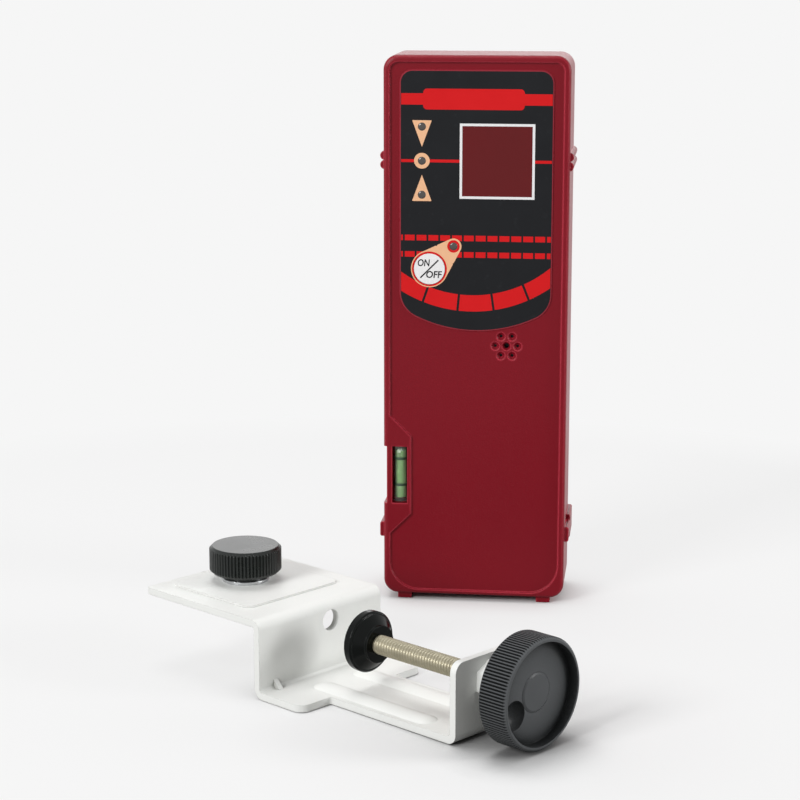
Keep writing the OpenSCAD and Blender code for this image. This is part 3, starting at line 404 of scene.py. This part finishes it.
# Slanted lip round the panel, on the recessed face; it catches real light, and its red, lighter than the
# case, is a painted highlight along the panel's edge
LIP_GAP, LIP_TOP, LIP_W, LIP_FRONT = 0.02, 0.25, 0.5, PANEL_FRONT + 0.06
TOP_R, BEND_R, BOTTOM_R = 3.5, 8.0, 42.0
TOP_STEPS, BEND_STEPS, BOTTOM_STEPS = 10, 12, 24


def panel_loop(grow):
    """The panel's outline, drawn out by a margin: top corners, bends and the curved bottom edge."""
    top_x, top_z = PANEL_HALF - TOP_R, PANEL_HIGH - TOP_R
    bend_x, bottom_z = PANEL_HALF - BEND_R, PANEL_LOW + BOTTOM_R
    fall = math.sqrt((BOTTOM_R - BEND_R) ** 2 - bend_x ** 2)
    lean = math.degrees(math.atan2(bend_x, fall))
    loop = arc(top_x, top_z, TOP_R + grow, 0, 90, TOP_STEPS)
    loop += arc(-top_x, top_z, TOP_R + grow, 90, 180, TOP_STEPS)
    loop += arc(-bend_x, bottom_z - fall, BEND_R + grow, 180, 270 - lean, BEND_STEPS)
    loop += arc(0, bottom_z, BOTTOM_R + grow, 270 - lean, 270 + lean, BOTTOM_STEPS)[1:-1]
    loop += arc(bend_x, bottom_z - fall, BEND_R + grow, 270 + lean, 360, BEND_STEPS)
    return loop


lip = ((LIP_GAP, LIP_FRONT), (LIP_GAP, PANEL_BACK), (LIP_W, PANEL_BACK), (LIP_TOP, LIP_FRONT))
mesh = bmesh.new()
bridge(mesh, [front_row(mesh, panel_loop(grow), y) for grow, y in lip], closed=True)
piece("panel_lip", mesh, PANEL_LIP, "receiver")

# White frame on the window's edge, and the red line at the sensor's height
FRAME_OUT, FRAME_IN = 11.25, 10.5
FRAME_FRONT, FRAME_BACK = WINDOW_FRONT - 0.05, WINDOW_FRONT + 0.02
LINE_HALF, ICON_R = 0.44, 2.36
mesh = bmesh.new()
add_frame(mesh, square(WINDOW_X, WINDOW_Z, FRAME_OUT, FRAME_OUT),
          square(WINDOW_X, WINDOW_Z, FRAME_IN, FRAME_IN), FRAME_FRONT, FRAME_BACK)
piece("print_window_frame", mesh, PRINT_WHITE, "receiver")
stretches = ((-SIDE, LENS_X - ICON_R), (LENS_X + ICON_R, WINDOW_X - FRAME_OUT),
             (WINDOW_X + FRAME_OUT, SIDE))
print_piece("print_height_line", [bar(a, b, WINDOW_Z, LINE_HALF) for a, b in stretches], PRINT_RED)

# Height icons: triangle, ring, triangle, each round its light
LENS_CUT = 1.22
TRI_HALF, TRI_BASE, TRI_TIP = 2.95, 1.9, 6.0
for way, label in ((1, "above"), (-1, "below")):
    z = WINDOW_Z + way * LENS_PITCH
    triangle = [(LENS_X - TRI_HALF, z + way * TRI_BASE), (LENS_X + TRI_HALF, z + way * TRI_BASE),
                (LENS_X, z - way * TRI_TIP)]
    holed("print_icon_" + label, triangle, LENS_X, z, LENS_CUT, PRINT_TAN)
level_icon = circle(LENS_X, WINDOW_Z, ICON_R, HOLE_STEPS)
holed("print_icon_level", level_icon, LENS_X, WINDOW_Z, LENS_CUT, PRINT_TAN)

# Two rows of dashes
DASH_PITCH, DASH_LONG, DASH_HALF, DASH_START, DASH_LEAST = 3.58, 3.0, 0.85, -25.06, 0.3
DASH_COUNT = 14
for label, z in (("upper", 113.7), ("lower", 108.7)):
    dashes = []
    for i in range(DASH_COUNT):
        start = DASH_START + DASH_PITCH * i
        a, b = max(start, -SIDE), min(start + DASH_LONG, SIDE)
        if b - a > DASH_LEAST:
            dashes.append(bar(a, b, z, DASH_HALF))
    print_piece("print_dashes_" + label, dashes, PRINT_RED)

# Arc of segments near the panel's bottom: inner and outer rim as (middle z, radius), cuts in degrees
ARC_X, ARC_RIMS = -1.2, ((133.2, 36.8), (132.6, 41.2))
CUTS, CUT_GAP, SEGMENT_STEPS = (-90, -21.0, -5.85, 9.5, 25.0, 90), 0.36, 14
segments = []
for a, b in zip(CUTS, CUTS[1:]):
    rims = []
    for arc_z, r in ARC_RIMS:
        left, right = (math.degrees(math.asin((way * SIDE - ARC_X) / r)) for way in (-1, 1))
        gap = math.degrees(CUT_GAP / r)
        start, end = max(a + gap, left), min(b - gap, right)
        rims.append(arc(ARC_X, arc_z, r, start - 90, end - 90, SEGMENT_STEPS))
    segments.append(rims[0] + list(reversed(rims[1])))
print_piece("print_arc", segments, PRINT_RED)

# Teardrop round the button and the power light, with a thin red ring round each
DROP_BIG, DROP_SMALL, DROP_SPLIT, DROP_FRONT = 5.62, 2.42, 0.64, PRINT_FRONT - 0.03
BIG_STEPS, SMALL_STEPS = 60, 24
BUTTON_RING, BUTTON_RING_IN, LIGHT_RING = 5.3, 4.82, 1.9


def drop_plate():
    """The teardrop has two holes, so it is two plates that meet on a line between them."""
    run_x, run_z = POWER_X - BUTTON_X, POWER_Z - BUTTON_Z
    span = math.hypot(run_x, run_z)
    lean = math.degrees(math.atan2(run_z, run_x))
    side = math.degrees(math.acos((DROP_BIG - DROP_SMALL) / span))
    split_x, split_z = BUTTON_X + run_x * DROP_SPLIT, BUTTON_Z + run_z * DROP_SPLIT
    big = arc(BUTTON_X, BUTTON_Z, DROP_BIG, lean + side, lean + 360 - side, BIG_STEPS)
    small = arc(POWER_X, POWER_Z, DROP_SMALL, lean - side, lean + side, SMALL_STEPS)

    def cross(p, q):
        """Where the edge from p to q meets the line between the plates."""
        a = ((p[0] - split_x) * run_x + (p[1] - split_z) * run_z) / span
        b = ((q[0] - split_x) * run_x + (q[1] - split_z) * run_z) / span
        t = a / (a - b)
        return (p[0] + (q[0] - p[0]) * t, p[1] + (q[1] - p[1]) * t)
    left, right = cross(big[0], small[-1]), cross(big[-1], small[0])
    holed("print_drop_button", big + [right, left], BUTTON_X, BUTTON_Z, BUTTON_RING, PRINT_TAN, DROP_FRONT)
    holed("print_drop_light", small + [left, right], POWER_X, POWER_Z, LIGHT_RING, PRINT_TAN, DROP_FRONT)


drop_plate()
rings = (("button", BUTTON_X, BUTTON_Z, BUTTON_RING, BUTTON_RING_IN),
         ("light", POWER_X, POWER_Z, LIGHT_RING, LENS_CUT))
for label, x, z, r_out, r_in in rings:
    holed("print_ring_" + label, circle(x, z, r_out, HOLE_STEPS), x, z, r_in, PRINT_RED, DROP_FRONT)

# Domed lenses on the four lights
DOME_R, DOME_H, DOME_BACK, DOME_RINGS, DOME_STEPS = 1.16, 0.3, PANEL_FRONT + 0.02, 5, 32
lights = ((LENS_X, WINDOW_Z + LENS_PITCH), (LENS_X, WINDOW_Z), (LENS_X, WINDOW_Z - LENS_PITCH),
          (POWER_X, POWER_Z))
for number, (x, z) in enumerate(lights, 1):
    mesh = bmesh.new()
    rows = []
    for k in range(DOME_RINGS):
        a = math.radians(90 * k / DOME_RINGS)
        loop = circle(x, z, DOME_R * math.cos(a), DOME_STEPS)
        rows.append(front_row(mesh, loop, DOME_BACK - DOME_H * math.sin(a)))
    tip = mesh.verts.new((CASE_X + x, DOME_BACK - DOME_H, z))
    bridge(mesh, rows)
    for i in range(DOME_STEPS):
        mesh.faces.new((rows[-1][i], rows[-1][(i + 1) % DOME_STEPS], tip))
    mesh.faces.new(list(reversed(rows[0])))
    piece("lens_dome_%d" % number, mesh, LENS, "receiver", smooth=True)

# Switch words and the stroke between them, on the button
WORD_SIZE, WORD_LEAN, WORD_DEPTH, WORD_BOLD = 2.95, 0.12, 0.02, 0.05
WORD_Y = BUTTON_FRONT - 0.015
WORD_CURVE_STEPS = 4


def words(name, text, x, z, wide):
    """Word on the button, drawn narrower by the share wide."""
    curve = bpy.data.curves.new(name, "FONT")
    curve.body = text
    curve.size = WORD_SIZE * MM
    curve.align_x = "CENTER"
    curve.align_y = "CENTER"
    curve.shear = WORD_LEAN
    curve.extrude = WORD_DEPTH * MM
    curve.offset = WORD_BOLD * MM
    curve.resolution_u = WORD_CURVE_STEPS
    holder = bpy.data.objects.new(name + "_curve", curve)
    upright = Matrix.Rotation(math.radians(90), 4, "X") @ Matrix.Diagonal((wide, 1, 1, 1))
    holder.matrix_world = Matrix.Translation(Vector((CASE_X + x, WORD_Y, z)) * MM) @ upright
    bpy.context.scene.collection.objects.link(holder)
    bpy.context.view_layer.update()
    solid = holder.evaluated_get(bpy.context.evaluated_depsgraph_get())
    data = bpy.data.meshes.new_from_object(solid)
    data.transform(holder.matrix_world)
    bpy.data.objects.remove(holder)
    data.materials.clear()
    data.materials.append(PRINT_BLACK)
    thing = bpy.data.objects.new(name, data)
    bpy.context.scene.collection.objects.link(thing)
    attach(thing, "power_button")


words("switch_on", "ON", x=BUTTON_X - 1.8, z=BUTTON_Z + 1.75, wide=0.8)
words("switch_off", "OFF", x=BUTTON_X + 1.25, z=BUTTON_Z - 1.8, wide=0.92)
STROKE_REACH, STROKE_W = 2.75, 0.2
STROKE_FRONT, STROKE_BACK = BUTTON_FRONT - 0.035, BUTTON_FRONT + 0.005
thin, thick = STROKE_REACH - STROKE_W / math.sqrt(2), STROKE_REACH + STROKE_W / math.sqrt(2)
corners = ((-thick, -thin), (-thin, -thick), (thick, thin), (thin, thick))
stroke = [(BUTTON_X + a, BUTTON_Z + b) for a, b in corners]
print_piece("switch_stroke", [stroke], PRINT_BLACK, STROKE_FRONT, STROKE_BACK, "power_button")

# Rings on the vial, with rows of (radius, rise) about each ring's height, and the bubble in it
VIAL_R, RING_HEIGHTS = 2.2, (44.7, 36.4)
RING_ROWS = ((VIAL_R - 0.02, -0.4), (VIAL_R + 0.04, -0.35), (VIAL_R + 0.04, 0.35), (VIAL_R - 0.02, 0.4))
RING_STEPS = 48
BUBBLE_AT, BUBBLE_SIZE = (VIAL.x - 0.3, VIAL.y - 0.95, 46.9), (0.8, 0.9, 0.8, 1)
for number, z in enumerate(RING_HEIGHTS, 1):
    mesh = bmesh.new()
    rows = []
    for r, rise in RING_ROWS:
        loop = circle(VIAL.x, VIAL.y, r, RING_STEPS)
        rows.append([mesh.verts.new((x, y, z + rise)) for x, y in loop])
    bridge(mesh, rows, closed=True)
    piece("vial_ring_%d" % number, mesh, VIAL_RING, "receiver", smooth=True)
mesh = bmesh.new()
bmesh.ops.create_uvsphere(mesh, u_segments=24, v_segments=16, radius=1.0)
bubble_place = Matrix.Translation(BUBBLE_AT) @ Matrix.Diagonal(BUBBLE_SIZE)
bmesh.ops.transform(mesh, verts=mesh.verts, matrix=bubble_place)
piece("vial_bubble", mesh, BUBBLE, "receiver", smooth=True)

# Threads: the flank starts at FLANK_FROM of the way from groove to ridge and rises over FLANK_LONG
THREAD_STEPS, ROWS_PER_TURN = 40, 8
PITCH, FLANK_FROM, FLANK_LONG, END_CUT = 1.0, 0.12, 0.7, 0.25


def threaded_rod(name, start, end, r_out, r_root, place, body, replaced, plain=None):
    """Right-handed thread along its z axis, chamfered at both ends; a plain stretch keeps the root."""
    count = int(math.ceil((end - start) / PITCH * ROWS_PER_TURN))
    mesh = bmesh.new()
    rows = []
    for k in range(count + 1):
        h = start + (end - start) * k / count
        row = []
        for i in range(THREAD_STEPS):
            turn = i / THREAD_STEPS
            phase = (h / PITCH - turn) % 1.0
            crest = 1 - abs(2 * phase - 1)
            r = r_root + (r_out - r_root) * min(1.0, max(0.0, (crest - FLANK_FROM) / FLANK_LONG))
            r = min(r, r_root - END_CUT + min(h - start, end - h))
            if plain and plain[0] <= h <= plain[1]:
                r = r_root
            a = 2 * math.pi * turn
            row.append(mesh.verts.new((r * math.cos(a), r * math.sin(a), h)))
        rows.append(row)
    bridge(mesh, rows)
    mesh.faces.new(list(reversed(rows[0])))
    mesh.faces.new(rows[-1])
    bmesh.ops.transform(mesh, matrix=place, verts=mesh.verts)
    thing = piece(name, mesh, ZINC, body, smooth=True)
    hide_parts(replaced)


# The clamp's own frame has x from the jaw face to the wheel, y across and z up
CLAMP_AT, CLAMP_TURN, SCREW_Z = (-10.9, -22.2, 0), math.radians(-37), 15.3
SCREW_FROM, SCREW_TO, SCREW_R, SCREW_ROOT = 18.8, 76.5, 2.7, 2.2
STUD_R, STUD_ROOT, STUD_NECK = 3.0, 2.5, (19.4, 20.5)
clamp_frame = Matrix.Translation(CLAMP_AT) @ Matrix.Rotation(CLAMP_TURN, 4, "Z")
along = clamp_frame @ Matrix.Translation((0, 0, SCREW_Z)) @ Matrix.Rotation(math.radians(90), 4, "Y")
threaded_rod("clamp_screw_thread", SCREW_FROM, SCREW_TO, SCREW_R, SCREW_ROOT, along, "clamp_screw",
             "clamp_screw")
upright = Matrix.Translation((STUD.x, STUD.y, 0))
threaded_rod("knob_stud_thread", low_mm("knob_stud").z, high_mm("knob_stud").z, STUD_R, STUD_ROOT, upright,
             "mount_knob", "knob_stud", STUD_NECK)

# Floor, light and camera, in metres
WHITE, WORLD_LIGHT = linear((246, 246, 246)), 0.28
FLOOR_SEEN, FLOOR_BOUNCE, FLOOR_PAINTED_SHADOW = (244, 244, 244), (170, 170, 168), (70, 70, 70)
FLOOR_HALF, FLOOR_Z = 30, -0.0002
# Openness between which the ground goes from contact to bare
CONTACT_REACH, CONTACT_SAMPLES, CONTACT_DARK, CONTACT_BARE = 0.016, 8, 0.3, 0.95
# Painted pool of shadow at the wheel's foot, and the share by which real shade is faded on bare ground
# away from it
WHEEL_FOOT, FOOT_NEAR, FOOT_FAR = (0.048, -0.066, 0), 0.02, 0.075
PAINTED_POOL_MOST, FADE_MOST = 0.8, 0.78
# Distances from the middle between which all shade fades to white
SHADE_NEAR, SHADE_FAR = 0.1, 0.32


def seen_ways(tree):
    """1 where the background is seen straight, in a reflection or through glass."""
    path = tree.add("ShaderNodeLightPath").outputs
    some = tree.calc("MAXIMUM", path["Is Camera Ray"], path["Is Glossy Ray"])
    return tree.calc("MAXIMUM", some, path["Is Transmission Ray"])


def floor():
    """White ground: real shade near contacts, painted shadow deepest at the wheel's foot, plain white
    further off.
    """
    material = bpy.data.materials.new("floor_white")
    tree = Tree(material)
    place = tree.add("ShaderNodeTexCoord").outputs["Object"]
    straight = tree.add("ShaderNodeLightPath").outputs["Is Camera Ray"]
    contact = tree.add("ShaderNodeAmbientOcclusion", {"Distance": CONTACT_REACH}, samples=CONTACT_SAMPLES)
    bare = contact.outputs["AO"]
    away = tree.ramp(tree.compare("DISTANCE", place, WHEEL_FOOT), FOOT_NEAR, FOOT_FAR, 0.0, 1.0)
    near = tree.calc("SUBTRACT", 1.0, away)
    painted_pool = tree.ramp(bare, CONTACT_DARK, CONTACT_BARE, PAINTED_POOL_MOST, 0.0)
    tone = tree.mix(straight, linear(FLOOR_BOUNCE), linear(FLOOR_SEEN))
    # Painted shadow: the ground's colour darkens at contacts near the wheel's foot
    tone = tree.mix(tree.calc("MULTIPLY", painted_pool, near), tone, linear(FLOOR_PAINTED_SHADOW))
    lit = tree.add("ShaderNodeBsdfDiffuse", {"Color": tone})
    plain = tree.add("ShaderNodeEmission", {"Color": WHITE, "Strength": 1.0})
    clear = tree.ramp(bare, CONTACT_DARK, CONTACT_BARE, 0.0, FADE_MOST)
    faded = tree.calc("MULTIPLY", clear, away)
    distant = tree.ramp(tree.compare("LENGTH", place), SHADE_NEAR, SHADE_FAR, 0.0, 1.0)
    share = tree.calc("MULTIPLY", seen_ways(tree), tree.calc("MAXIMUM", faded, distant))
    both = tree.add("ShaderNodeMixShader", {0: share, 1: lit.outputs["BSDF"], 2: plain.outputs["Emission"]})
    tree.add("ShaderNodeOutputMaterial", {"Surface": both.outputs["Shader"]})
    mesh = bmesh.new()
    bmesh.ops.create_grid(mesh, x_segments=1, y_segments=1, size=FLOOR_HALF)
    data = bpy.data.meshes.new("floor")
    mesh.to_mesh(data)
    mesh.free()
    data.materials.append(material)
    thing = bpy.data.objects.new("floor", data)
    bpy.context.scene.collection.objects.link(thing)
    thing.location.z = FLOOR_Z


def world():
    """Even light all round, seen as the same white as the floor."""
    scene_world = bpy.data.worlds.new("studio")
    bpy.context.scene.world = scene_world
    tree = Tree(scene_world)
    light = tree.add("ShaderNodeBackground", {"Color": (1.0, 1.0, 1.0, 1.0), "Strength": WORLD_LIGHT})
    seen = tree.add("ShaderNodeBackground", {"Color": WHITE, "Strength": 1.0})
    sides = {0: seen_ways(tree), 1: light.outputs["Background"], 2: seen.outputs["Background"]}
    both = tree.add("ShaderNodeMixShader", sides)
    tree.add("ShaderNodeOutputWorld", {"Surface": both.outputs["Shader"]})


def lamp(name, at, aim, size, watts):
    """Rectangular lamp that the camera doesn't see."""
    data = bpy.data.lights.new(name, "AREA")
    data.shape = "RECTANGLE"
    data.size, data.size_y = size
    data.energy = watts
    thing = bpy.data.objects.new(name, data)
    bpy.context.scene.collection.objects.link(thing)
    thing.location = at
    thing.visible_camera = False
    thing.rotation_euler = (Vector(aim) - Vector(at)).to_track_quat("-Z", "Y").to_euler()


LENS_MM, SENSOR_MM, CAMERA_FAR = 99, 36, 100
CAMERA_TARGET = Vector((1.8, 55.3, 63.5)) * MM
CAMERA_PITCH, CAMERA_AZIMUTH, CAMERA_DISTANCE = math.radians(12.08), math.radians(6.86), 0.675


def camera():
    """Camera at the photograph's angle, fitted to points on receiver and clamp."""
    data = bpy.data.cameras.new("camera")
    data.lens = LENS_MM
    data.sensor_width = SENSOR_MM
    data.clip_end = CAMERA_FAR
    thing = bpy.data.objects.new("camera", data)
    bpy.context.scene.collection.objects.link(thing)
    level = math.cos(CAMERA_PITCH)
    back = Vector((math.sin(CAMERA_AZIMUTH) * level, -math.cos(CAMERA_AZIMUTH) * level,
                   math.sin(CAMERA_PITCH)))
    thing.location = CAMERA_TARGET + back * CAMERA_DISTANCE
    thing.rotation_euler = (-back).to_track_quat("-Z", "Y").to_euler()
    bpy.context.scene.camera = thing


floor()
world()
lamp("top", at=(-0.18, 0.25, 1.1), aim=(0, 0, 0), size=(0.5, 0.5), watts=3.6)
lamp("key", at=(1.4, -0.1, 0.45), aim=(0, -0.02, 0.03), size=(0.45, 0.45), watts=10.4)
lamp("front", at=(-0.85, -1.15, 0.75), aim=(0, 0.03, 0.08), size=(0.6, 0.6), watts=16.8)
lamp("back", at=(-0.2, 1.7, 0.58), aim=(0, 0, 0.05), size=(2.2, 0.3), watts=3.7)
camera()
bpy.context.scene.view_settings.view_transform = "Standard"
